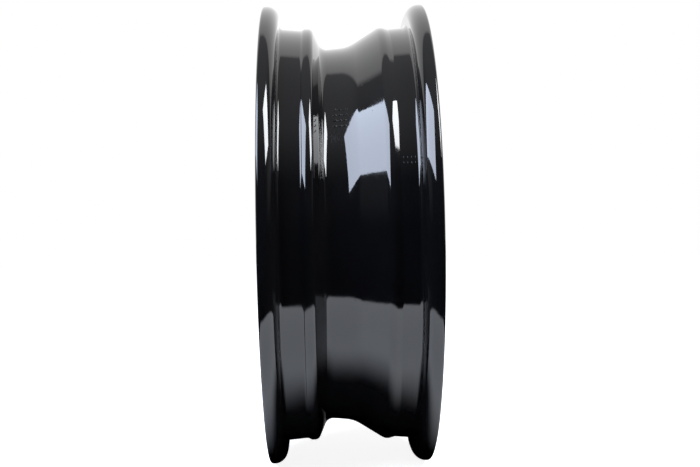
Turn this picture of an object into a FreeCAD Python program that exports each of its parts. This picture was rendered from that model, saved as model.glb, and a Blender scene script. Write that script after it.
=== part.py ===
import FreeCAD, Part
import os
import Sketcher

# A 13 inch trailer wheel, cast in one piece of aluminium alloy and turned on its seats and faces.
# The wheel turns about Y. Its face, the outboard side, looks along -Y, and +Z is up. The origin is on
# the axis, midway between the two rim flanges. Lengths are in millimetres, angles in degrees.

NODE = "alloy_wheel"
SPOKES = 5

# Places closer than NEAR are the same place. An edge is picked CLEAR of the faces beside it, and runs
# along the axis when STEEP of its length does.
NEAR = 0.001
CLEAR = 0.3
STEEP = 0.9

RIM_SIZES = {
    "bead_seat_diameter": 329.4,
    "rim_width": 98.6,
    "flange_height": 17.8,
    "flange_width": 12.7,
    "flange_radius": 10.0,
    "lip_radius": 1.8,
    "lip_face": 10.0,
    "seat_taper": 5.0,
    "seat_corner_radius": 3.0,
    "outboard_seat": 16.6,
    "inboard_seat": 14.0,
    "hump_rise": 1.45,
    "flat_hump_ramp": 2.6,
    "flat_hump_width": 5.6,
    "flat_hump_radius": 4.5,
    "round_hump_run": 6.8,
    "round_hump_peak": 2.0,
    "round_hump_radius": 8.0,
    "hump_foot_radius": 3.0,
    "well_depth": 16.8,
    "well_width": 20.4,
    "well_slope": 5.4,
    "wall_angle": 66.0,
    "wall_foot_radius": 7.0,
    "well_blend_radius": 25.0,
    "barrel_wall": 6.0,
    "barrel_blend_radius": 8.0,
    "lip_inset": 2.5,
}

FACE_SIZES = {
    "mount_offset": 30.0,
    "hub_thickness": 21.0,
    "hub_radius": 74.0,
    "hub_front_radius": 46.0,
    "crown_radius": 460.0,
    "spoke_tip_front": 45.0,
    "spoke_back": 34.0,
    "spoke_foot": 16.0,
    "spoke_flat": 26.0,
    "spoke_bend_radius": 30.0,
    "hub_border": 10.0,
    "spoke_root_width": 50.0,
    "spoke_tip_width": 38.0,
    "window_corner_radius": 14.0,
    "flare_radius": 24.0,
    "flare_turn": 48.0,
    "flare_length": 16.0,
    "window_draft": 4.0,
    "spoke_front_radius": 3.5,
    "spoke_back_radius": 2.0,
    "rib_wall": 8.0,
    "skin": 8.0,
    "pocket_inset": 2.0,
    "pocket_end": 128.0,
    "pocket_draft": 5.0,
    "pocket_radius": 6.0,
    "pocket_floor_radius": 3.0,
}

HUB_SIZES = {
    "centre_bore": 66.6,
    "bore_chamfer": 2.0,
    "bolt_circle": 112.0,
    "bolt_hole": 14.0,
    "bolt_seat": 26.0,
    "bolt_seat_angle": 60.0,
    "bolt_web": 4.0,
    "bolt_well": 30.0,
    "relief_diameter": 24.0,
    "relief_depth": 9.0,
    "valve_hole": 11.5,
    "valve_seat": 16.0,
    "valve_web": 4.0,
    "valve_rise": 6.1,
    "valve_position": 198.0,
    "valve_reach": 12.0,
}

# Places that follow from the sizes above: y_ is along the axis, r_ is a radius.
PLACES = {
    "y_face": "rim_width / 2",
    "y_lip": "y_face + flange_width",
    "r_seat": "bead_seat_diameter / 2",
    "r_flange": "r_seat + flange_height",
    "r_lip": "r_flange - lip_face",
    "y_flat_foot": "outboard_seat - y_face",
    "r_flat_foot": "r_seat - outboard_seat * tan(seat_taper * 1deg)",
    "y_flat_top": "y_flat_foot + flat_hump_ramp",
    "r_hump": "r_flat_foot + hump_rise",
    "y_wall_top": "y_flat_top + flat_hump_width",
    "r_well": "r_seat - well_depth",
    "y_well": "y_wall_top + (r_hump - r_well) / tan(wall_angle * 1deg)",
    "y_ramp": "y_well + well_width",
    "r_ramp": "r_well + well_width * tan(well_slope * 1deg)",
    "y_round_foot": "y_face - inboard_seat",
    "r_round_foot": "r_seat - inboard_seat * tan(seat_taper * 1deg)",
    "y_round_top": "y_round_foot - round_hump_run",
    "r_round_top": "r_round_foot + round_hump_peak",
    "ramp_angle": "atan((r_round_top - r_ramp) / (y_round_top - y_ramp)) / 1deg",
    "wall_shift": "barrel_wall / sin(wall_angle * 1deg)",
    "r_under_flat": "r_flat_foot - barrel_wall",
    "r_under_round": "r_round_foot - barrel_wall",
    "r_under_well": "r_well - barrel_wall",
    "y_under_wall_top": "y_wall_top - wall_shift + (r_hump - r_under_flat) / tan(wall_angle * 1deg)",
    "y_under_wall_foot": "y_wall_top - wall_shift + (r_hump - r_under_well) / tan(wall_angle * 1deg)",
    "r_under_ramp": "r_ramp - barrel_wall",
    "y_under_ramp": "y_ramp + barrel_wall * tan(ramp_angle * 0.5deg)",
    "y_under_round": "y_under_ramp + (r_under_round - r_under_ramp) / tan(ramp_angle * 1deg)",
    "r_mid_flat": "r_flat_foot - barrel_wall / 2",
    "r_mid_well": "r_well - barrel_wall / 2",
    "y_mid_flat": "y_wall_top - wall_shift / 2 + (r_hump - r_mid_flat) / tan(wall_angle * 1deg)",
    "y_mid_well": "y_wall_top - wall_shift / 2 + (r_hump - r_mid_well) / tan(wall_angle * 1deg)",
    "y_hub_front": "mount_offset + hub_thickness",
    "half_angle": "180deg / spoke_count",
    "window_start": "hub_radius + hub_border",
    "pocket_start": "window_start + pocket_inset",
    "spoke_bend": "window_start + spoke_flat",
    "window_root_x": "window_start * sin(half_angle) - spoke_root_width / 2 * cos(half_angle)",
    "window_root_z": "window_start * cos(half_angle) + spoke_root_width / 2 * sin(half_angle)",
    "spoke_taper": "(spoke_root_width - spoke_tip_width) / (r_mid_flat - window_start) / 2",
    "edge_angle": "atan(spoke_taper)",
    "flare_along": "r_mid_flat - flare_length",
    "flare_across": "spoke_root_width / 2 - spoke_taper * (flare_along - window_start)",
    "flare_x": "flare_along * sin(half_angle) - flare_across * cos(half_angle)",
    "flare_z": "flare_along * cos(half_angle) + flare_across * sin(half_angle)",
    "flare_rise": "flare_radius * sin(flare_turn * 1deg)",
    "flare_drift": "flare_radius * (1 - cos(flare_turn * 1deg))",
    "tip_along": "flare_along + flare_rise * cos(edge_angle) + flare_drift * sin(edge_angle)",
    "tip_across": "flare_across - flare_rise * sin(edge_angle) + flare_drift * cos(edge_angle)",
    "tip_x": "tip_along * sin(half_angle) - tip_across * cos(half_angle)",
    "tip_z": "tip_along * cos(half_angle) + tip_across * sin(half_angle)",
    "window_reach": "sqrt(tip_along ^ 2 + tip_across ^ 2)",
    "pocket_start_half": "spoke_root_width / 2 - spoke_taper * (pocket_start - window_start) - rib_wall",
    "pocket_end_half": "spoke_root_width / 2 - spoke_taper * (pocket_end - window_start) - rib_wall",
    "r_bore": "centre_bore / 2",
    "r_bolts": "bolt_circle / 2",
    "y_bolt_seat": "-mount_offset - bolt_web - (bolt_seat - bolt_hole) / 2 / tan(bolt_seat_angle * 0.5deg)",
    "wall_sine": "sin(wall_angle * 1deg)",
    "wall_cosine": "cos(wall_angle * 1deg)",
    "valve_turn": "450 - valve_position",
    "r_valve": "r_well + valve_rise",
    "y_valve": "y_wall_top + (r_hump - r_valve) / tan(wall_angle * 1deg)",
}


def fill_sheet(doc):
    """Write the sizes, then the places that follow from them, into one sheet with named cells."""
    sheet = doc.addObject("Spreadsheet::Sheet", "sizes")
    rows = {"spoke_count": str(SPOKES)}
    for group in (RIM_SIZES, FACE_SIZES, HUB_SIZES):
        rows.update({alias: str(value) for alias, value in group.items()})
    rows.update({alias: "=" + formula for alias, formula in PLACES.items()})
    for number, (alias, content) in enumerate(rows.items(), start=1):
        sheet.set(f"A{number}", alias)
        sheet.set(f"B{number}", content)
        sheet.setAlias(f"B{number}", alias)
        doc.recompute()
    return sheet


def in_sheet(formula):
    """Give a formula's names their sheet, so that an expression outside the sheet can read them."""
    words = []
    word = ""
    for letter in formula + " ":
        if letter.isalnum() or letter == "_":
            word += letter
            continue
        known = word in RIM_SIZES or word in FACE_SIZES or word in HUB_SIZES or word in PLACES
        words.append(f"sizes.{word}" if known or word == "spoke_count" else word)
        words.append(letter)
        word = ""
    return "".join(words).strip()


class CastBody:
    """A body of the document, with the ways of adding features that its sections and cuts need."""

    def __init__(self, doc, sheet, label):
        self.doc = doc
        self.sheet = sheet
        self.body = doc.addObject("PartDesign::Body", label)
        self.body.Label = label

    def origin(self, role):
        """Find one of the body's origin planes or axes."""
        return next(item for item in self.body.Origin.OriginFeatures if item.Role == role)

    def sketch(self, name, role, offset=None, turn=None):
        """Attach a sketch to an origin plane, moved off it or turned about its own X axis."""
        sketch = self.body.newObject("Sketcher::SketchObject", name)
        sketch.AttachmentSupport = [(self.origin(role), "")]
        sketch.MapMode = "FlatFace"
        if offset:
            sketch.setExpression("AttachmentOffset.Base.z", in_sheet(offset))
        if turn:
            sketch.AttachmentOffset = FreeCAD.Placement(
                FreeCAD.Vector(), FreeCAD.Rotation(FreeCAD.Vector(1, 0, 0), 1)
            )
            sketch.setExpression("AttachmentOffset.Rotation.Angle", in_sheet(turn))
        return sketch

    def value(self, formula):
        """Work out a formula of the sheet's names."""
        result = self.sheet.evalExpression(in_sheet(formula))
        return float(getattr(result, "Value", result))

    def outline(self, sketch, corners, arcs=None):
        """Draw a closed outline through corners given as formulas; arcs maps a side to its radius."""
        arcs = arcs or {}
        points = [FreeCAD.Vector(self.value(x), self.value(y), 0) for x, y in corners]
        count = len(points)
        for side, start in enumerate(points):
            end = points[(side + 1) % count]
            if side in arcs:
                sketch.addGeometry(bow(start, end, self.value(arcs[side])), False)
            else:
                sketch.addGeometry(Part.LineSegment(start, end), False)
        heads = [end_at(sketch, side, points[side]) for side in range(count)]
        for side in range(count):
            after = (side + 1) % count
            sketch.addConstraint(
                Sketcher.Constraint("Coincident", side, 3 - heads[side], after, heads[after])
            )
        for side, (x, y) in enumerate(corners):
            for kind, formula in (("DistanceX", x), ("DistanceY", y)):
                rule = Sketcher.Constraint(kind, -1, 1, side, heads[side], self.value(formula))
                number = sketch.addConstraint(rule)
                sketch.setExpression(f"Constraints[{number}]", in_sheet(formula))
        for side, radius in arcs.items():
            number = sketch.addConstraint(Sketcher.Constraint("Radius", side, self.value(radius)))
            sketch.setExpression(f"Constraints[{number}]", in_sheet(radius))
        return sketch

    def feature(self, kind, name, profile, links=None, **sizes):
        """Add a feature made from a sketch; links are set as they are, sizes are sheet formulas."""
        feature = self.body.newObject(f"PartDesign::{kind}", name)
        feature.Profile = profile
        for key, target in (links or {}).items():
            setattr(feature, key, target)
        for key, formula in sizes.items():
            feature.setExpression(key, in_sheet(formula))
        self.doc.recompute()
        return feature

    def turned(self, name, corners, arcs=None):
        """Turn a section, drawn as places along the axis and radii, about the wheel's axis."""
        sketch = self.outline(self.sketch(f"{name}_section", "YZ_Plane"), corners, arcs)
        return self.feature("Revolution", name, sketch, {"ReferenceAxis": (sketch, ["H_Axis"])})

    def around(self, feature):
        """Repeat a feature once for each spoke about the wheel's axis."""
        pattern = self.body.newObject("PartDesign::PolarPattern", f"{feature.Name}_pattern")
        pattern.Originals = [feature]
        pattern.Axis = (self.origin("Y_Axis"), [""])
        pattern.Angle = 360
        pattern.setExpression("Occurrences", in_sheet("spoke_count"))
        self.body.Tip = pattern
        self.doc.recompute()
        return pattern

    def dress(self, kind, name, size, test):
        """Round or bevel every edge of the body so far that the test picks."""
        base = self.body.Tip
        names = [f"Edge{i}" for i, edge in enumerate(base.Shape.Edges, start=1) if test(edge)]
        feature = self.body.newObject(f"PartDesign::{kind}", name)
        feature.Base = (base, names)
        feature.setExpression("Radius" if kind == "Fillet" else "Size", in_sheet(size))
        self.doc.recompute()
        return feature

    def ring(self, *places):
        """Make a test for full circles about the axis at these places along it and radii."""
        wanted = [(self.value(axial), self.value(radius)) for axial, radius in places]

        def test(edge):
            if not turned_edge(edge):
                return False
            found = edge.Curve
            return any(
                abs(found.Center.y - y) < NEAR and abs(found.Radius - r) < NEAR for y, r in wanted
            )

        return test


def bow(start, end, radius):
    """Make an arc that bulges to the right of the way from start to end."""
    chord = end - start
    across = FreeCAD.Vector(chord.y, -chord.x, 0).normalize()
    sagitta = radius - (radius**2 - (chord.Length / 2) ** 2) ** 0.5
    return Part.Arc(start, (start + end) / 2 + across * sagitta, end)


def end_at(sketch, side, point):
    """Say which end of a side, 1 or 2, starts at this point."""
    return 1 if sketch.getPoint(side, 1).distanceToPoint(point) < NEAR else 2


def turned_edge(edge):
    """Say whether an edge is a circle, or part of one, about the wheel's axis."""
    curve = edge.Curve
    return isinstance(curve, Part.Circle) and abs(curve.Center.x) + abs(curve.Center.z) < NEAR


def axial(edge):
    """Say whether an edge runs nearly along the wheel's axis."""
    along = edge.valueAt(edge.LastParameter).y - edge.valueAt(edge.FirstParameter).y
    return abs(along) > STEEP * edge.Length


def middle(edge):
    """Give the point halfway along an edge."""
    return edge.valueAt((edge.FirstParameter + edge.LastParameter) / 2)


def off_axis(point):
    """Give a point's distance from the wheel's axis."""
    return (point.x**2 + point.z**2) ** 0.5


def make_barrel(doc, sheet):
    """Turn the rim: flanges, tapered seats, safety humps, drop centre and the wall beneath them."""
    barrel = CastBody(doc, sheet, "rim_barrel")
    barrel.turned(
        "barrel",
        [
            ("-y_lip", "r_flange"),
            ("-y_face", "r_flange"),
            ("-y_face", "r_seat"),
            ("y_flat_foot", "r_flat_foot"),
            ("y_flat_top", "r_hump"),
            ("y_wall_top", "r_hump"),
            ("y_well", "r_well"),
            ("y_ramp", "r_ramp"),
            ("y_round_top", "r_round_top"),
            ("y_round_foot", "r_round_foot"),
            ("y_face", "r_seat"),
            ("y_face", "r_flange"),
            ("y_lip", "r_flange"),
            ("y_lip", "r_lip"),
            ("y_face - lip_inset", "r_under_round"),
            ("y_under_round", "r_under_round"),
            ("y_under_ramp", "r_under_ramp"),
            ("y_under_wall_foot", "r_under_well"),
            ("y_under_wall_top", "r_under_flat"),
            ("lip_inset - y_face", "r_under_flat"),
            ("-y_lip", "r_lip"),
        ],
    )
    rounds = {
        "flange_round": ("flange_radius", [("-y_face", "r_flange"), ("y_face", "r_flange")]),
        "seat_corner": ("seat_corner_radius", [("-y_face", "r_seat"), ("y_face", "r_seat")]),
        "flat_hump": ("flat_hump_radius", [("y_wall_top", "r_hump")]),
        "wall_foot": ("wall_foot_radius", [("y_well", "r_well")]),
        "well_blend": ("well_blend_radius", [("y_ramp", "r_ramp")]),
        "round_hump": ("round_hump_radius", [("y_round_top", "r_round_top")]),
        "hump_feet": (
            "hump_foot_radius",
            [("y_round_foot", "r_round_foot"), ("y_flat_foot", "r_flat_foot")],
        ),
        "lip": (
            "lip_radius",
            [("-y_lip", "r_flange"), ("y_lip", "r_flange"), ("-y_lip", "r_lip"), ("y_lip", "r_lip")],
        ),
        "under_side": (
            "barrel_blend_radius",
            [
                ("y_face - lip_inset", "r_under_round"),
                ("y_under_round", "r_under_round"),
                ("y_under_ramp", "r_under_ramp"),
                ("lip_inset - y_face", "r_under_flat"),
            ],
        ),
    }
    for name, (radius, places) in rounds.items():
        barrel.dress("Fillet", name, radius, barrel.ring(*places))
    return barrel


def make_spider(doc, sheet):
    """Turn the hub and disc, then cut the windows that leave the spokes, and hollow their backs."""
    spider = CastBody(doc, sheet, NODE)
    spider.turned(
        "spider",
        [
            ("-y_hub_front", "0"),
            ("-mount_offset", "0"),
            ("-mount_offset", "hub_radius"),
            ("-spoke_back", "hub_radius + spoke_back - mount_offset"),
            ("-spoke_back", "spoke_bend"),
            ("-spoke_foot", "r_mid_well"),
            ("y_mid_well", "r_mid_well"),
            ("y_mid_flat", "r_mid_flat"),
            ("-spoke_tip_front", "r_mid_flat"),
            ("-y_hub_front", "hub_front_radius"),
        ],
        arcs={8: "crown_radius"},
    )
    spider.dress("Fillet", "spoke_bend", "spoke_bend_radius", spider.ring(("-spoke_back", "spoke_bend")))
    bore_hub(spider)
    cut_windows(spider)
    hollow_spokes(spider)
    return spider


def cut_windows(spider):
    """Cut one window between two spokes, repeat it, and round its corners and edges."""
    sketch = spider.sketch("window_outline", "XZ_Plane", offset="y_lip")
    spider.outline(
        sketch,
        [
            ("-window_root_x", "-window_root_z"),
            ("-flare_x", "-flare_z"),
            ("-tip_x", "-tip_z"),
            ("tip_x", "-tip_z"),
            ("flare_x", "-flare_z"),
            ("window_root_x", "-window_root_z"),
        ],
        arcs={1: "flare_radius", 2: "window_reach", 3: "flare_radius"},
    )
    window = spider.feature("Pocket", "window", sketch, Length="y_lip", TaperAngle="-window_draft")
    spider.around(window)
    hub = spider.value("hub_radius + spoke_back - mount_offset")
    hub_side = spider.value("spoke_bend")

    def corner(edge):
        return axial(edge) and hub < off_axis(middle(edge)) < hub_side

    spider.dress("Fillet", "window_corners", "window_corner_radius", corner)
    front = CLEAR - spider.value("spoke_tip_front")
    back = -spider.value("spoke_back") - CLEAR
    reach = spider.value("r_mid_well") - CLEAR

    def front_edge(edge):
        point = middle(edge)
        return point.y < front and off_axis(point) > hub and not turned_edge(edge)

    def back_edge(edge):
        point = middle(edge)
        return point.y > back and hub < off_axis(point) < reach and not turned_edge(edge)

    spider.dress("Fillet", "spoke_front", "spoke_front_radius", front_edge)
    spider.dress("Fillet", "spoke_rear", "spoke_back_radius", back_edge)


def hollow_spokes(spider):
    """Sink a tapered pocket into the back of each spoke, which leaves a rib along both its sides."""
    sketch = spider.sketch("pocket_outline", "XZ_Plane", offset="spoke_foot")
    spider.outline(
        sketch,
        [
            ("-pocket_start_half", "pocket_start"),
            ("pocket_start_half", "pocket_start"),
            ("pocket_end_half", "pocket_end"),
            ("-pocket_end_half", "pocket_end"),
        ],
    )
    sizes = {"Length": "y_hub_front - skin - spoke_foot", "TaperAngle": "-pocket_draft"}
    pocket = spider.feature("Pocket", "pocket", sketch, {"Reversed": True}, **sizes)
    spider.around(pocket)
    floor = spider.value("skin - y_hub_front")

    def in_corner(edge):
        return axial(edge) and any(abs(end.Point.y - floor) < NEAR for end in edge.Vertexes)

    spider.dress("Fillet", "pocket_corners", "pocket_radius", in_corner)

    def on_floor(edge):
        return all(abs(end.Point.y - floor) < NEAR for end in edge.Vertexes)

    spider.dress("Fillet", "pocket_floor", "pocket_floor_radius", on_floor)


def join_rim(spider, barrel):
    """Cast the rim on to the spoke ends."""
    join = spider.body.newObject("PartDesign::Boolean", "rim_join")
    join.setObjects([barrel.body])
    join.Type = "Fuse"
    spider.body.Tip = join
    spider.doc.recompute()


def bore_hub(wheel):
    """Bore the hub, sink the bolt holes with their conical seats, and relieve the mounting face."""
    bore = wheel.sketch("bore_section", "YZ_Plane")
    wheel.outline(
        bore,
        [
            ("-y_lip", "0"),
            ("-y_lip", "r_bore + bore_chamfer"),
            ("-y_hub_front", "r_bore + bore_chamfer"),
            ("bore_chamfer - y_hub_front", "r_bore"),
            ("-mount_offset - bore_chamfer", "r_bore"),
            ("-mount_offset", "r_bore + bore_chamfer"),
            ("-spoke_foot", "r_bore + bore_chamfer"),
            ("-spoke_foot", "0"),
        ],
    )
    wheel.feature("Groove", "centre_bore", bore, {"ReferenceAxis": (bore, ["H_Axis"])})
    bolt = wheel.sketch("bolt_section", "YZ_Plane")
    wheel.outline(
        bolt,
        [
            ("-y_lip", "r_bolts"),
            ("-y_lip", "r_bolts + bolt_well / 2"),
            ("y_bolt_seat", "r_bolts + bolt_well / 2"),
            ("y_bolt_seat", "r_bolts + bolt_seat / 2"),
            ("-mount_offset - bolt_web", "r_bolts + bolt_hole / 2"),
            ("-spoke_foot", "r_bolts + bolt_hole / 2"),
            ("-spoke_foot", "r_bolts"),
        ],
    )
    hole = wheel.feature("Groove", "bolt_hole", bolt, {"ReferenceAxis": (bolt, ["Edge7"])})
    wheel.around(hole)
    relief = wheel.sketch("relief_outline", "XZ_Plane", offset="mount_offset")
    circle = Part.Circle(FreeCAD.Vector(0, -wheel.value("r_bolts"), 0), FreeCAD.Vector(0, 0, 1), 1)
    relief.addGeometry(circle, False)
    relief.addConstraint(Sketcher.Constraint("PointOnObject", 0, 3, -2))
    rules = {"DistanceY": (-1, 1, 0, 3, "-r_bolts"), "Diameter": (0, "relief_diameter")}
    for kind, (*where, formula) in rules.items():
        number = relief.addConstraint(Sketcher.Constraint(kind, *where, wheel.value(formula)))
        relief.setExpression(f"Constraints[{number}]", in_sheet(formula))
    pocket = wheel.feature("Pocket", "relief", relief, {"Reversed": True}, Length="relief_depth")
    wheel.around(pocket)


def drill_valve(wheel):
    """Drill the valve hole square to the steep wall, in a window, with a spot face on its front."""
    valve = wheel.sketch("valve_section", "YZ_Plane", turn="valve_turn")
    section = [
        ("-valve_reach", "0"),
        ("-valve_reach", "valve_seat / 2"),
        ("-valve_web", "valve_seat / 2"),
        ("-valve_web", "valve_hole / 2"),
        ("valve_reach", "valve_hole / 2"),
        ("valve_reach", "0"),
    ]
    corners = [
        (
            f"y_valve + ({along}) * wall_sine - ({across}) * wall_cosine",
            f"r_valve + ({along}) * wall_cosine + ({across}) * wall_sine",
        )
        for along, across in section
    ]
    wheel.outline(valve, corners)
    wheel.feature("Groove", "valve_hole", valve, {"ReferenceAxis": (valve, ["Edge6"])})


def check(doc, body):
    """Stop if any object of the document failed, or if the wheel is not one sound solid."""
    failed = [item.Label for item in doc.Objects if {"Invalid", "Error"} & set(item.State)]
    if failed:
        raise RuntimeError(f"failed: {', '.join(failed)}")
    shape = body.Shape
    if shape.isNull() or not shape.isValid() or len(shape.Solids) != 1:
        raise RuntimeError(f"{body.Label} is not one valid solid")


def main():
    """Build the wheel, check it and write its solid."""
    doc = FreeCAD.newDocument("trailer_alloy_wheel")
    sheet = fill_sheet(doc)
    barrel = make_barrel(doc, sheet)
    wheel = make_spider(doc, sheet)
    join_rim(wheel, barrel)
    drill_valve(wheel)
    doc.recompute()
    check(doc, wheel.body)
    os.makedirs("parts", exist_ok=True)
    wheel.body.Shape.exportStep(f"parts/{wheel.body.Label}.step")


main()
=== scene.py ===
"""Dresses the cast trailer wheel in its stoved black paint and sets it in a plain studio."""

import logging
import math
from dataclasses import dataclass
from enum import Enum

import bmesh
import bpy
import numpy as np
from mathutils import Euler, Matrix, Vector


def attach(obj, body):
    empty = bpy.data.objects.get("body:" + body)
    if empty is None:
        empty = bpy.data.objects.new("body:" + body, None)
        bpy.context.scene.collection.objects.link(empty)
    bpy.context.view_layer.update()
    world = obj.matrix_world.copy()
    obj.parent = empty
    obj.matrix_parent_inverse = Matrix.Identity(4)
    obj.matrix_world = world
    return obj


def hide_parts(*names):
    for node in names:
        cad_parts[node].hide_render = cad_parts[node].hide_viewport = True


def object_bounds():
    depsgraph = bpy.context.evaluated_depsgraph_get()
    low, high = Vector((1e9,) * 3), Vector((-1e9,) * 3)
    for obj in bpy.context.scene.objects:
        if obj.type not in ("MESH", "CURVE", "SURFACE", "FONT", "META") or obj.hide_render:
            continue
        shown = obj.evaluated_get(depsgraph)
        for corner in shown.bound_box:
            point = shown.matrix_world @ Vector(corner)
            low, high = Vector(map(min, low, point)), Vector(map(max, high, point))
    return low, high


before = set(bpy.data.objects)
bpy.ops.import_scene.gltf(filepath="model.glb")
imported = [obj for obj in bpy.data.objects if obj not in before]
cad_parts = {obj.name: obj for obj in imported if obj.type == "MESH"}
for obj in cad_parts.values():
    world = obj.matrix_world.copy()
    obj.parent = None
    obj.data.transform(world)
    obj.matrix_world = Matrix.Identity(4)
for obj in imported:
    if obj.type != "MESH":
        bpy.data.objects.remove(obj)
CAD_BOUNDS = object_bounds()

LOG = logging.getLogger("trailer_wheel")
WHEEL_NODE = "alloy_wheel"
MM = 0.001
WHITE = "#ffffff"
BLACK = "#000000"
SUM = "ShaderNodeMath"
RAMP = "ShaderNodeMapRange"
TIMES = {"operation": "MULTIPLY"}
LARGER = {"operation": "MAXIMUM"}
SOFT = {"interpolation_type": "SMOOTHSTEP"}


class Side(Enum):
    """The side of the wheel a softbox stands on, as the sign of its place along the axle."""

    OUTBOARD = -1
    INBOARD = 1


def linear(colour: str) -> tuple[float, float, float, float]:
    """Turn an sRGB hex colour into linear light.

    Args:
        colour: The colour as "#rrggbb".

    Returns:
        Red, green, blue and a full alpha.
    """
    parts = [int(colour[i : i + 2], 16) / 255 for i in (1, 3, 5)]
    red, green, blue = (c / 12.92 if c <= 0.04045 else ((c + 0.055) / 1.055) ** 2.4 for c in parts)
    return red, green, blue, 1.0


def add_node(
    tree: bpy.types.NodeTree, kind: str, settings: dict[str, object] | None = None, **links: object
) -> bpy.types.Node:
    """Add a shader node, set its properties and fill its sockets.

    Args:
        tree: The node tree it goes in.
        kind: The node's type name.
        settings: Properties of the node itself, such as its operation.
        links: Socket names, with spaces as underscores and a bare number as "s0"; each takes a
            plain value or another node's output socket.

    Returns:
        The new node.
    """
    node = tree.nodes.new(kind)
    for name, value in (settings or {}).items():
        setattr(node, name, value)
    for name, value in links.items():
        key = int(name[1:]) if name[0] == "s" and name[1:].isdigit() else name.replace("_", " ")
        socket = node.inputs[key]
        if isinstance(value, bpy.types.NodeSocket):
            tree.links.new(value, socket)
        else:
            socket.default_value = value
    return node


def empty_tree(owner: bpy.types.Material | bpy.types.World) -> bpy.types.NodeTree:
    """Give a material or world an empty node tree.

    Args:
        owner: The material or world.

    Returns:
        Its node tree, with no nodes.
    """
    owner.use_nodes = True
    owner.node_tree.nodes.clear()
    return owner.node_tree


@dataclass(frozen=True)
class StovedBlackPaint:
    """Black powder coat, stoved on the bare casting and flowed out to a high gloss.

    The eye sees a near-black body under a hard clear skin: crisp reflections that wander a
    little with the orange peel, and a few fine nibs where dust settled before stoving.
    """

    body: str = "#070708"
    thin: str = "#0c0c0e"
    roughness: float = 0.035
    worn_roughness: float = 0.085
    thin_film: float = 0.4
    thick_film: float = 0.75
    skin_ior: float = 1.5
    peel_size: float = 2.4 * MM
    peel_depth: float = 0.007 * MM
    flow_size: float = 22.0 * MM
    flow_depth: float = 0.03 * MM
    nib_spacing: float = 8.8 * MM
    nib_share: float = 0.115
    nib_depth: float = 0.02 * MM

    def material(self) -> bpy.types.Material:
        """Build the paint.

        Returns:
            The paint's material, on Object coordinates.
        """
        paint = bpy.data.materials.new("stoved black powder coat on cast aluminium")
        tree = empty_tree(paint)
        place = add_node(tree, "ShaderNodeTexCoord").outputs["Object"]
        film = add_node(tree, "ShaderNodeTexNoise", Vector=place, Scale=1 / self.flow_size, Detail=3.0)
        tone = add_node(
            tree, "ShaderNodeMix", {"data_type": "RGBA"},
            s0=film.outputs["Fac"], s6=linear(self.body), s7=linear(self.thin),
        )
        gloss = add_node(
            tree, RAMP, Value=film.outputs["Fac"], From_Min=self.thin_film, From_Max=self.thick_film,
            To_Min=self.roughness, To_Max=self.worn_roughness,
        )
        shader = add_node(
            tree, "ShaderNodeBsdfPrincipled", Base_Color=tone.outputs[2], Roughness=gloss.outputs[0],
            IOR=self.skin_ior, Normal=self._relief(tree, place, film),
        )
        add_node(tree, "ShaderNodeOutputMaterial", Surface=shader.outputs[0])
        return paint

    def _relief(
        self, tree: bpy.types.NodeTree, place: bpy.types.NodeSocket, film: bpy.types.Node
    ) -> bpy.types.NodeSocket:
        """Raise the paint's flow waves, orange peel and nibs.

        Args:
            tree: The paint's node tree.
            place: Object coordinates.
            film: The noise that the film's thickness follows.

        Returns:
            The bent normal.
        """
        # Orange peel is about 1 mm across: it is drawn coarser here so that it shows.
        peel = add_node(tree, "ShaderNodeTexNoise", Vector=place, Scale=1 / self.peel_size, Detail=1.0)
        nibs = add_node(tree, "ShaderNodeTexVoronoi", Vector=place, Scale=1 / self.nib_spacing)
        spot = add_node(
            tree, RAMP, SOFT, Value=nibs.outputs["Distance"], From_Min=0.0, From_Max=self.nib_share,
            To_Min=1.0, To_Max=0.0,
        )
        flow = add_node(
            tree, "ShaderNodeBump", Height=film.outputs["Fac"], Distance=self.flow_depth, Strength=1.0
        )
        fine = add_node(
            tree, "ShaderNodeBump", Height=peel.outputs["Fac"], Distance=self.peel_depth, Strength=1.0,
            Normal=flow.outputs[0],
        )
        dust = add_node(
            tree, "ShaderNodeBump", Height=spot.outputs[0], Distance=self.nib_depth, Strength=1.0,
            Normal=fine.outputs[0],
        )
        return dust.outputs[0]


@dataclass(frozen=True)
class Corner:
    """A corner of the rim's section, in millimetres.

    It has a place along the axle, a radius from the axle, and the round it is turned with.
    """

    along: float
    out: float
    round: float = 0.0

    def point(self) -> Vector:
        """Place the corner in the section's plane, in metres."""
        return Vector((0.0, self.along * MM, self.out * MM))


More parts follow.
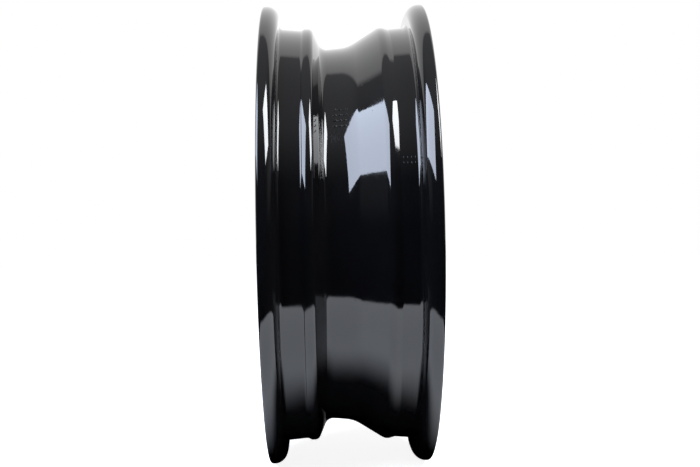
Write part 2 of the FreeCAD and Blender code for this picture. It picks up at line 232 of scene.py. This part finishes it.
@dataclass(frozen=True)
class RimContour:
    """The rim's turned section: flanges, bead seats, humps and drop centre over an even wall.

    Lengths are in millimetres and angles in degrees. Places along the axle are measured from midway
    between the flanges, and grow from the outboard side to the inboard side.
    """

    seat_radius: float = 164.7
    rim_width: float = 98.6
    flange_height: float = 17.8
    flange_width: float = 12.7
    flange_round: float = 10.0
    lip_face: float = 10.0
    lip_round: float = 1.8
    lip_inset: float = 2.5
    seat_taper: float = 5.0
    seat_round: float = 3.0
    outboard_seat: float = 16.6
    inboard_seat: float = 14.0
    hump_rise: float = 1.45
    hump_foot_round: float = 3.0
    flat_hump_ramp: float = 2.6
    flat_hump_width: float = 5.6
    flat_hump_round: float = 4.5
    round_hump_run: float = 6.8
    round_hump_peak: float = 2.0
    round_hump_round: float = 8.0
    well_depth: float = 16.8
    well_width: float = 20.4
    well_slope: float = 5.4
    wall_angle: float = 66.0
    wall_foot_round: float = 7.0
    well_blend_round: float = 25.0
    barrel_wall: float = 6.0
    barrel_round: float = 8.0

    def well_radius(self) -> float:
        """Give the radius at the foot of the well's steep wall."""
        return self.seat_radius - self.well_depth

    def seat_at(self, inset: float) -> float:
        """Give a bead seat's radius at a distance in from its flange."""
        return self.seat_radius - inset * math.tan(math.radians(self.seat_taper))

    def wall_at(self, out: float) -> float:
        """Find the steep wall's place along the axle.

        Args:
            out: A radius from the axle.

        Returns:
            Where the wall, or its line drawn on, has that radius.
        """
        top = self.outboard_seat - self.rim_width / 2 + self.flat_hump_ramp + self.flat_hump_width
        drop = self.seat_at(self.outboard_seat) + self.hump_rise - out
        return top + drop / math.tan(math.radians(self.wall_angle))

    def well_at(self, along: float) -> float:
        """Give the well floor's radius at a place along the axle."""
        run = along - self.wall_at(self.well_radius())
        return self.well_radius() + run * math.tan(math.radians(self.well_slope))

    def corners(self) -> list[Corner]:
        """List the section's corners, once round.

        Returns:
            The tyre side from the outboard lip to the inboard lip, then the under side back.
        """
        return self._tyre_side() + self._under_side()

    def _tyre_side(self) -> list[Corner]:
        """List the corners under the tyre.

        Returns:
            The corners from the outboard lip to the inboard lip.
        """
        face = self.rim_width / 2
        lip = face + self.flange_width
        flange = self.seat_radius + self.flange_height
        flat_foot = self.seat_at(self.outboard_seat)
        flat_top = flat_foot + self.hump_rise
        flat_start = self.outboard_seat - face
        flat_edge = flat_start + self.flat_hump_ramp
        round_start = face - self.inboard_seat
        round_foot = self.seat_at(self.inboard_seat)
        ramp_start = self.wall_at(self.well_radius()) + self.well_width
        ramp_end = round_start - self.round_hump_run
        return [
            Corner(-lip, flange, self.lip_round),
            Corner(-face, flange, self.flange_round),
            Corner(-face, self.seat_radius, self.seat_round),
            Corner(flat_start, flat_foot, self.hump_foot_round),
            Corner(flat_edge, flat_top),
            Corner(flat_edge + self.flat_hump_width, flat_top, self.flat_hump_round),
            Corner(self.wall_at(self.well_radius()), self.well_radius(), self.wall_foot_round),
            Corner(ramp_start, self.well_at(ramp_start), self.well_blend_round),
            Corner(ramp_end, round_foot + self.round_hump_peak, self.round_hump_round),
            Corner(round_start, round_foot, self.hump_foot_round),
            Corner(face, self.seat_radius, self.seat_round),
            Corner(face, flange, self.flange_round),
            Corner(lip, flange, self.lip_round),
        ]

    def _under_side(self) -> list[Corner]:
        """List the corners under the barrel, which follow the tyre side at the wall's thickness.

        Returns:
            The corners from the inboard lip to the outboard lip.
        """
        face = self.rim_width / 2
        lip = face + self.flange_width
        lip_foot = self.seat_radius + self.flange_height - self.lip_face
        inset = face - self.lip_inset
        under_round = self.seat_at(self.inboard_seat) - self.barrel_wall
        under_flat = self.seat_at(self.outboard_seat) - self.barrel_wall
        under_well = self.well_radius() - self.barrel_wall
        ramp_start = self.wall_at(self.well_radius()) + self.well_width
        ramp_foot = self.well_at(ramp_start)
        ramp_end = face - self.inboard_seat - self.round_hump_run
        climb = under_round + self.barrel_wall + self.round_hump_peak - ramp_foot
        slope = math.atan2(climb, ramp_end - ramp_start)
        under_start = ramp_start + self.barrel_wall * math.tan(slope / 2)
        under_end = under_start + (under_round - ramp_foot + self.barrel_wall) / math.tan(slope)
        shift = self.barrel_wall / math.sin(math.radians(self.wall_angle))
        return [
            Corner(lip, lip_foot, self.lip_round),
            Corner(inset, under_round, self.barrel_round),
            Corner(under_end, under_round, self.barrel_round),
            Corner(under_start, ramp_foot - self.barrel_wall, self.barrel_round),
            Corner(self.wall_at(under_well) - shift, under_well),
            Corner(self.wall_at(under_flat) - shift, under_flat),
            Corner(-inset, under_flat, self.barrel_round),
            Corner(-lip, lip_foot, self.lip_round),
        ]


@dataclass(frozen=True)
class ValveHole:
    """The valve hole through the steep wall of the well, with its spot face on the wheel's face.

    Lengths are in millimetres and angles in degrees.
    """

    contour: RimContour
    rise: float = 6.1
    turn: float = 198.0
    hole: float = 11.5
    seat: float = 16.0
    web: float = 4.0
    reach: float = 12.0
    margin: float = 0.1
    sides: int = 96

    def frame(self) -> Matrix:
        """Find the hole's mouth.

        Returns:
            The place of the mouth on the tyre side, with Z along the hole.
        """
        turn, wall = math.radians(self.turn), math.radians(self.contour.wall_angle)
        out = self.contour.well_radius() + self.rise
        outwards = Vector((math.cos(turn), 0.0, math.sin(turn)))
        axis = outwards * math.cos(wall) + Vector((0.0, math.sin(wall), 0.0))
        mouth = outwards * (out * MM) + Vector((0.0, self.contour.wall_at(out) * MM, 0.0))
        return Matrix.Translation(mouth) @ axis.to_track_quat("Z", "Y").to_matrix().to_4x4()

    def drills(self) -> list[bpy.types.Object]:
        """Make the two drills that cut the hole and its spot face.

        Returns:
            A drill for the hole and a drill for the spot face.
        """
        made = []
        for name, width, low, length in (
            ("hole", self.hole, -self.reach, 2 * self.reach),
            ("seat", self.seat, -self.reach - self.web, self.reach),
        ):
            bm = bmesh.new()
            bmesh.ops.create_cone(
                bm, cap_ends=True, segments=self.sides, radius1=width / 2 * MM, radius2=width / 2 * MM,
                depth=length * MM, matrix=self.frame() @ Matrix.Translation((0, 0, (low + length / 2) * MM)),
            )
            made.append(new_object(f"valve_{name}_drill", bm))
        return made

    def near(self, point: Vector) -> bool:
        """Say whether a point is on the hole or its spot face."""
        seen = self.frame().inverted() @ point
        return seen.xy.length < (self.seat / 2 + self.margin) * MM and abs(seen.z) < self.reach * MM


def new_object(name: str, bm: bmesh.types.BMesh) -> bpy.types.Object:
    """Turn a bmesh into an object of the scene.

    Args:
        name: The object's name.
        bm: The bmesh, which is freed.

    Returns:
        The new object.
    """
    mesh = bpy.data.meshes.new(name)
    bm.to_mesh(mesh)
    bm.free()
    made = bpy.data.objects.new(name, mesh)
    bpy.context.scene.collection.objects.link(made)
    return made


def smooth(bm: bmesh.types.BMesh, crease: float) -> None:
    """Shade a bmesh smooth, with a sharp edge wherever its faces turn by more than the crease.

    Args:
        bm: The bmesh to shade.
        crease: The turn, in degrees.
    """
    for face in bm.faces:
        face.smooth = True
    for edge in bm.edges:
        edge.smooth = edge.is_manifold and edge.calc_face_angle() < math.radians(crease)


@dataclass
class CastWheel:
    """The one-piece cast wheel under one coat of paint: a turned rim, and the spokes and hub in it.

    Lengths are in metres and angles in degrees.
    """

    coat: bpy.types.Material
    contour: RimContour
    valve: ValveHole
    node: str = WHEEL_NODE
    arc_step: float = 6.0
    fewest_steps: int = 2
    turns: int = 360
    weld: float = 0.001 * MM
    on_rim: float = 0.16 * MM
    spoke_reach: float = 157.6 * MM
    spoke_foot: float = -8.0 * MM
    bury: float = 1.5 * MM
    crease: float = 32.0

    def build(self) -> list[bpy.types.Object]:
        """Build the rim and the spokes, which together stand for the casting's solid.

        Returns:
            The rim and the spokes.
        """
        pieces = [self._rim(), self._spokes()]
        for piece in pieces:
            dress(piece, self.coat)
            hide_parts(self.node)
        return pieces

    def _outline(self) -> bmesh.types.BMesh:
        """Draw the rim's section, each corner swung to its round.

        Returns:
            The section as a closed loop of edges.
        """
        bm = bmesh.new()
        ends = []
        section = self.contour.corners()
        count = len(section)
        for place, corner in enumerate(section):
            point = corner.point()
            back = (section[place - 1].point() - point).normalized()
            ahead = (section[(place + 1) % count].point() - point).normalized()
            if not corner.round:
                vert = bm.verts.new(point)
                ends.append((vert, vert))
                continue
            half = back.angle(ahead) / 2
            first = bm.verts.new(point + back * (corner.round * MM / math.tan(half)))
            centre = point + (back + ahead).normalized() * (corner.round * MM / math.sin(half))
            turn = math.copysign(math.pi - 2 * half, (-back).cross(ahead).x)
            steps = max(self.fewest_steps, math.ceil(abs(math.degrees(turn)) / self.arc_step))
            swung = bmesh.ops.spin(
                bm, geom=[first], cent=centre, axis=(1, 0, 0), angle=turn, steps=steps, use_merge=False
            )
            last = next(part for part in swung["geom_last"] if isinstance(part, bmesh.types.BMVert))
            ends.append((first, last))
        for place, (_, last) in enumerate(ends):
            bm.edges.new((last, ends[(place + 1) % count][0]))
        return bm

    def _rim(self) -> bpy.types.Object:
        """Turn the section into the rim and drill the valve hole.

        Returns:
            The rim.
        """
        bm = self._outline()
        bmesh.ops.spin(
            bm, geom=bm.verts[:] + bm.edges[:], cent=(0, 0, 0), axis=(0, 1, 0), angle=math.tau,
            steps=self.turns, use_merge=True,
        )
        bmesh.ops.remove_doubles(bm, verts=bm.verts, dist=self.weld)
        bmesh.ops.recalc_face_normals(bm, faces=bm.faces)
        blank = new_object("turned_rim", bm)
        drills = self.valve.drills()
        for drill in drills:
            cut = blank.modifiers.new(drill.name, "BOOLEAN")
            cut.operation = "DIFFERENCE"
            cut.solver = "EXACT"
            cut.object = drill
        drilled = blank.evaluated_get(bpy.context.evaluated_depsgraph_get())
        bm = bmesh.new()
        bm.from_mesh(drilled.to_mesh())
        drilled.to_mesh_clear()
        for scrap in (blank, *drills):
            bpy.data.objects.remove(scrap)
        smooth(bm, self.crease)
        return new_object("rim", bm)

    def _off_section(self, points: np.ndarray) -> np.ndarray:
        """Measure how far points are from the rim's section.

        Args:
            points: Points in the frame, one a row.

        Returns:
            Each point's distance from the section, swung to the point's own turn.
        """
        bm = self._outline()
        starts, ends = (np.array([edge.verts[i].co.yz for edge in bm.edges]) for i in (0, 1))
        bm.free()
        flat = np.column_stack((points[:, 1], np.hypot(points[:, 0], points[:, 2])))
        best = np.full(len(flat), np.inf)
        for start, end in zip(starts, ends):
            run = end - start
            share = np.clip((flat - start) @ run / (run @ run), 0, 1)
            best = np.minimum(best, np.linalg.norm(flat - start - share[:, None] * run, axis=1))
        return best

    def _spokes(self) -> bpy.types.Object:
        """Take the spokes and hub from the casting, and bury their outer ends in the rim.

        Returns:
            The spokes and hub.
        """
        bm = bmesh.new()
        bm.from_mesh(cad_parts[self.node].data)
        bmesh.ops.remove_doubles(bm, verts=bm.verts, dist=self.weld)
        bm.verts.index_update()
        corners = self._off_section(np.array([v.co for v in bm.verts]))
        middles = self._off_section(np.array([f.calc_center_median() for f in bm.faces]))
        scrap = []
        for face, middle in zip(bm.faces, middles):
            centre = face.calc_center_median()
            turned = middle < self.on_rim and all(corners[v.index] < self.on_rim for v in face.verts)
            beyond = math.hypot(centre.x, centre.z) > self.spoke_reach or centre.y > self.spoke_foot
            if turned or beyond or self.valve.near(centre):
                scrap.append(face)
        bmesh.ops.delete(bm, geom=scrap, context="FACES")
        open_edges = [edge for edge in bm.edges if edge.is_boundary]
        grown = bmesh.ops.extrude_edge_only(bm, edges=open_edges)["geom"]
        for vert in (part for part in grown if isinstance(part, bmesh.types.BMVert)):
            outwards = Vector((vert.co.x, 0.0, vert.co.z)).normalized()
            vert.co += outwards * self.bury
        bmesh.ops.holes_fill(bm, edges=[edge for edge in bm.edges if edge.is_boundary], sides=0)
        bmesh.ops.recalc_face_normals(bm, faces=bm.faces)
        smooth(bm, self.crease)
        return new_object("spokes_and_hub", bm)


@dataclass
class CastMarks:
    """A block of plain raised bars, cast on the rim.

    Lengths are in millimetres and angles in degrees. The block's rows run along the axle.
    """

    name: str
    coat: bpy.types.Material
    along: float
    out: float
    slope: float
    rise: float
    rows: int
    bars: int
    bar_length: float
    bar_width: float
    bar_pitch: float
    row_pitch: float
    proud: float
    depth: float = 1.2
    edge: float = 0.18
    edge_steps: int = 2
    crease: float = 60.0

    def build(self) -> bpy.types.Object:
        """Cast the block on to the rim.

        Returns:
            The bars as one piece.
        """
        bm = bmesh.new()
        for row in range(self.rows):
            for bar in range(self.bars):
                bmesh.ops.create_cube(bm, size=1.0, matrix=self._place(row, bar))
        bmesh.ops.bevel(
            bm, geom=bm.edges[:], offset=self.edge * MM, affect="EDGES", segments=self.edge_steps,
            profile=0.5, material=-1,
        )
        smooth(bm, self.crease)
        block = new_object(self.name, bm)
        dress(block, self.coat)
        return block

    def _place(self, row: int, bar: int) -> Matrix:
        """Place one bar on the rim, with its foot buried.

        Args:
            row: The bar's row, from the lowest.
            bar: The bar's place in its row.

        Returns:
            The bar's size and place, for a cube of one metre.
        """
        shift = (bar - (self.bars - 1) / 2) * self.bar_pitch
        turn = math.radians(self.rise) + (row - (self.rows - 1) / 2) * self.row_pitch / self.out
        slope = math.radians(self.slope)
        out = self.out + shift * math.tan(slope) + self.proud - self.depth / 2
        stand = Matrix.Translation((out * MM, (self.along + shift) * MM, 0.0))
        size = Matrix.Diagonal((self.depth * MM, self.bar_length * MM, self.bar_width * MM, 1.0))
        return Matrix.Rotation(-turn, 4, "Y") @ stand @ Matrix.Rotation(-slope, 4, "Z") @ size


def dress(piece: bpy.types.Object, coat: bpy.types.Material) -> None:
    """Paint a piece, let its broad faces rule its shading, and fix it to the wheel.

    Args:
        piece: The piece to paint.
        coat: The paint.
    """
    piece.data.materials.clear()
    piece.data.materials.append(coat)
    shading = piece.modifiers.new("broad_faces", "WEIGHTED_NORMAL")
    shading.mode = "FACE_AREA"
    shading.keep_sharp = True
    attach(piece, "root")


@dataclass
class Softbox:
    """A rectangular studio lamp on one side of the wheel.

    Lengths are in metres and angles in degrees. The place's second number is how far the lamp is
    out to its own side; the turn is away from the camera's side and the tilt looks down.
    """

    side: Side
    place: tuple[float, float, float]
    turn: float
    tilt: float
    roll: float
    width: float
    height: float
    power: float
    colour: str

    def build(self) -> bpy.types.Object:
        """Hang the lamp.

        Returns:
            The lamp, turned towards the wheel.
        """
        lamp = bpy.data.lights.new(f"softbox_{self.side.name.lower()}", "AREA")
        lamp.shape = "RECTANGLE"
        lamp.size = self.width
        lamp.size_y = self.height
        lamp.energy = self.power
        lamp.color = linear(self.colour)[:3]
        box = bpy.data.objects.new(lamp.name, lamp)
        turn, tilt = math.radians(self.turn), math.radians(self.tilt)
        flat = math.cos(tilt)
        away = Vector(
            (math.cos(turn) * flat, self.side.value * math.sin(turn) * flat, math.sin(tilt))
        )
        level = away.to_track_quat("Z", "Y").to_matrix()
        lean = Matrix.Rotation(math.radians(self.side.value * self.roll), 3, "Z")
        box.location = (self.place[0], self.side.value * self.place[1], self.place[2])
        box.rotation_euler = (level @ lean).to_euler()
        bpy.context.scene.collection.objects.link(box)
        return box


@dataclass
class Studio:
    """A pale table and a white backdrop behind the wheel, in an otherwise dark room.

    Lengths on the table are in metres, measured from under the wheel. The backdrop's top is in
    degrees, up and over from the camera's side. The room's heights, sides and lights run from 0 to
    about 1.
    """

    floor_size: float = 6.0
    floor_colour: str = "#e6e6e6"
    # Painted light on the table: contact_shade dims its glow near the wheel as painted shade, the pool
    # values set the glow of a painted pool of light seen in reflections, and the shade band paints it black
    # under the wheel.
    contact_shade: float = 0.9
    pool_near: float = 0.37
    pool_far: float = 1.23
    shade_start: float = 0.085
    shade_end: float = 0.165
    lit_reach: float = 0.325
    edge_blur: float = 0.008
    shadow_reach: float = 0.5
    backdrop_top: float = 112.0
    backdrop_edge: float = 0.06
    backdrop_light: float = 1.3
    ceiling: float = 0.42
    gloom: float = 0.02
    gloom_top: float = 0.42
    walls: float = 0.34
    wall_start: float = 0.72
    fill: float = 0.12

    def build(self) -> bpy.types.Object:
        """Lay the floor and set the room's light.

        Returns:
            The floor.
        """
        self._room()
        bm = bmesh.new()
        bmesh.ops.create_grid(bm, x_segments=1, y_segments=1, size=self.floor_size)
        bmesh.ops.translate(bm, verts=bm.verts, vec=(0, 0, CAD_BOUNDS[0][2]))
        floor = new_object("studio_floor", bm)
        floor.data.materials.append(self._table())
        return floor

    def _table(self) -> bpy.types.Material:
        """Make the table, which is white to the camera and a pool of light in reflections.

        Returns:
            The table's material.
        """
        # Matt laminate with no reflection in it. To the camera it glows white, dimmed a little near the
        # wheel as painted shade so that the real shadow shows; in reflections it is a painted pool of light,
        # black under the wheel as painted shade and black beyond the pool.
        table = bpy.data.materials.new("matt white laminate table")
        tree = empty_tree(table)
        place = add_node(tree, "ShaderNodeTexCoord").outputs["Object"]
        ray = add_node(tree, "ShaderNodeLightPath")
        camera = ray.outputs["Is Camera Ray"]
        flat = add_node(tree, "ShaderNodeVectorMath", TIMES, s0=place, s1=(1, 1, 0))
        reach = add_node(tree, "ShaderNodeVectorMath", {"operation": "LENGTH"}, s0=flat.outputs[0])
        # Bands by distance from under the wheel: painted shade under the wheel in reflections, the edge of
        # the painted pool of light, and the ring where the glow is dimmed as painted shade.
        shade, top, near = (
            add_node(
                tree, RAMP, SOFT, Value=reach.outputs["Value"], From_Min=start, From_Max=end,
                To_Min=0.0, To_Max=1.0,
            ).outputs[0]
            for start, end in (
                (self.shade_start, self.shade_end),
                (self.lit_reach + self.edge_blur, self.lit_reach - self.edge_blur),
                (self.shadow_reach, self.shade_end),
            )
        )
        # Glow levels: to the camera, dimmed to contact_shade near the wheel as painted shade; in
        # reflections, the painted pool of light, brighter away from the wheel.
        direct, pool = (
            add_node(
                tree, RAMP, Value=near, From_Min=0.0, From_Max=1.0, To_Min=far, To_Max=close
            ).outputs[0]
            for far, close in ((1.0, self.contact_shade), (self.pool_far, self.pool_near))
        )
        lit = add_node(tree, SUM, TIMES, s0=shade, s1=top).outputs[0]
        shown = add_node(tree, SUM, LARGER, s0=camera, s1=lit)
        bounced = add_node(
            tree, SUM, LARGER, s0=ray.outputs["Is Glossy Ray"], s1=ray.outputs["Is Transmission Ray"]
        )
        pooled = add_node(tree, SUM, TIMES, s0=pool, s1=lit)
        mirrored = add_node(tree, SUM, TIMES, s0=bounced.outputs[0], s1=pooled.outputs[0])
        faced = add_node(tree, SUM, TIMES, s0=camera, s1=direct)
        glow = add_node(tree, SUM, LARGER, s0=faced.outputs[0], s1=mirrored.outputs[0])
        light = add_node(tree, "ShaderNodeEmission", Color=linear(WHITE), Strength=glow.outputs[0])
        # Painted shade: the table's colour turns black for all but camera rays under the wheel and beyond
        # the painted pool of light.
        tone = add_node(
            tree, "ShaderNodeMix", {"data_type": "RGBA"},
            s0=shown.outputs[0], s6=linear(BLACK), s7=linear(self.floor_colour),
        )
        matt = add_node(tree, "ShaderNodeBsdfDiffuse", Color=tone.outputs[2])
        both = add_node(tree, "ShaderNodeAddShader", s0=matt.outputs[0], s1=light.outputs[0])
        add_node(tree, "ShaderNodeOutputMaterial", Surface=both.outputs[0])
        return table

    def _room(self) -> None:
        """Set the world: white to the camera, and in reflections a white backdrop behind only."""
        world = bpy.data.worlds.new("studio_room")
        bpy.context.scene.world = world
        tree = empty_tree(world)
        ray = add_node(tree, "ShaderNodeLightPath")
        way = add_node(tree, "ShaderNodeTexCoord").outputs["Generated"]
        top = math.radians(self.backdrop_top + 90)
        behind = add_node(
            tree, "ShaderNodeVectorMath", {"operation": "DOT_PRODUCT"},
            s0=way, s1=(math.cos(top), 0, math.sin(top)),
        )
        axes = add_node(tree, "ShaderNodeSeparateXYZ", Vector=way)
        side = add_node(tree, SUM, {"operation": "ABSOLUTE"}, s0=axes.outputs["Y"])
        backdrop, ceiling, walls, rise = (
            add_node(
                tree, RAMP, SOFT, Value=value, From_Min=start, From_Max=end, To_Min=low, To_Max=high
            ).outputs[0]
            for value, start, end, low, high in (
                (behind.outputs["Value"], -self.backdrop_edge, self.backdrop_edge, 0.0, self.backdrop_light),
                (axes.outputs["Z"], self.gloom_top, 1.0, self.gloom, self.ceiling),
                (side.outputs[0], self.wall_start, 1.0, 0.0, self.walls),
                (axes.outputs["Z"], 0.0, self.gloom_top, 0.0, 1.0),
            )
        )
        lower = add_node(tree, SUM, LARGER, s0=walls, s1=ceiling)
        upper = add_node(tree, SUM, TIMES, s0=lower.outputs[0], s1=rise)
        room = add_node(tree, SUM, LARGER, s0=backdrop, s1=upper.outputs[0])
        bounced = add_node(
            tree, SUM, LARGER, s0=ray.outputs["Is Glossy Ray"], s1=ray.outputs["Is Transmission Ray"]
        )
        mirrored = add_node(tree, SUM, TIMES, s0=room.outputs[0], s1=bounced.outputs[0])
        shown = add_node(tree, SUM, LARGER, s0=mirrored.outputs[0], s1=ray.outputs["Is Camera Ray"])
        fill = add_node(tree, SUM, TIMES, s0=ray.outputs["Is Diffuse Ray"], s1=self.fill)
        strength = add_node(tree, SUM, LARGER, s0=shown.outputs[0], s1=fill.outputs[0])
        sky = add_node(tree, "ShaderNodeBackground", Color=linear(WHITE), Strength=strength.outputs[0])
        add_node(tree, "ShaderNodeOutputWorld", Surface=sky.outputs[0])


@dataclass
class PhotoCamera:
    """The camera that took the photograph: square on to the tread, at axle height.

    The lens and sensor are in millimetres, the places in metres and the roll in degrees.
    """

    lens: float = 56.78
    sensor: float = 36.0
    place: tuple[float, float, float] = (0.901, -0.0169, 0.0)
    aim: tuple[float, float, float] = (0.0, 0.0036, 0.0)
    roll: float = -1.05

    def build(self) -> bpy.types.Object:
        """Set up the camera.

        Returns:
            The scene's camera.
        """
        lens = bpy.data.cameras.new("photo_camera")
        lens.lens = self.lens
        lens.sensor_width = self.sensor
        camera = bpy.data.objects.new("photo_camera", lens)
        camera.location = self.place
        look = Vector(self.aim) - Vector(self.place)
        level = look.to_track_quat("-Z", "Y").to_matrix()
        camera.rotation_euler = (level @ Euler((0, 0, math.radians(self.roll))).to_matrix()).to_euler()
        bpy.context.scene.collection.objects.link(camera)
        bpy.context.scene.camera = camera
        return camera


def key_lights() -> list[Softbox]:
    """List the studio's softboxes.

    Returns:
        The broad upright softbox on the outboard side and the small high one on the inboard side.
    """
    return [
        Softbox(
            Side.OUTBOARD, place=(0.672, 1.145, 1.452), turn=46, tilt=0, roll=4, width=1.93, height=1.64,
            power=136, colour="#dde9ff",
        ),
        Softbox(
            Side.INBOARD, place=(0.593, 0.879, 1.06), turn=56, tilt=45, roll=8, width=0.65, height=0.8,
            power=38, colour="#f1f4f8",
        ),
    ]


def cast_marks(coat: bpy.types.Material, contour: RimContour) -> list[CastMarks]:
    """List the rim's blocks of casting marks.

    Args:
        coat: The paint they are under.
        contour: The rim's section, which they stand on.

    Returns:
        The block in the well and the block on the inboard seat.
    """
    in_well, on_seat = -3.4, 42.0
    seat_inset = contour.rim_width / 2 - on_seat
    return [
        CastMarks(
            "well_marks", coat, along=in_well, out=contour.well_at(in_well), slope=contour.well_slope,
            rise=33.3, rows=4, bars=4, bar_length=2.5, bar_width=1.7, bar_pitch=3.5, row_pitch=4.9,
            proud=0.35,
        ),
        CastMarks(
            "seat_marks", coat, along=on_seat, out=contour.seat_at(seat_inset), slope=contour.seat_taper,
            rise=17.4, rows=2, bars=4, bar_length=1.7, bar_width=1.3, bar_pitch=2.6, row_pitch=4.0,
            proud=0.25,
        ),
    ]


def main() -> None:
    """Build the scene in order and report each piece."""
    logging.basicConfig(level=logging.INFO, format="%(message)s")
    bpy.context.scene.view_settings.view_transform = "Standard"
    coat = StovedBlackPaint().material()
    contour = RimContour()
    pieces = CastWheel(coat, contour, ValveHole(contour)).build()
    pieces += [marks.build() for marks in cast_marks(coat, contour)]
    for piece in pieces:
        LOG.info("%s: %d faces", piece.name, len(piece.data.polygons))
    floor = Studio().build()
    LOG.info("%s laid", floor.name)
    for softbox in key_lights():
        LOG.info("%s hung", softbox.build().name)
    LOG.info("%s set", PhotoCamera().build().name)


if __name__ == "__main__":
    main()
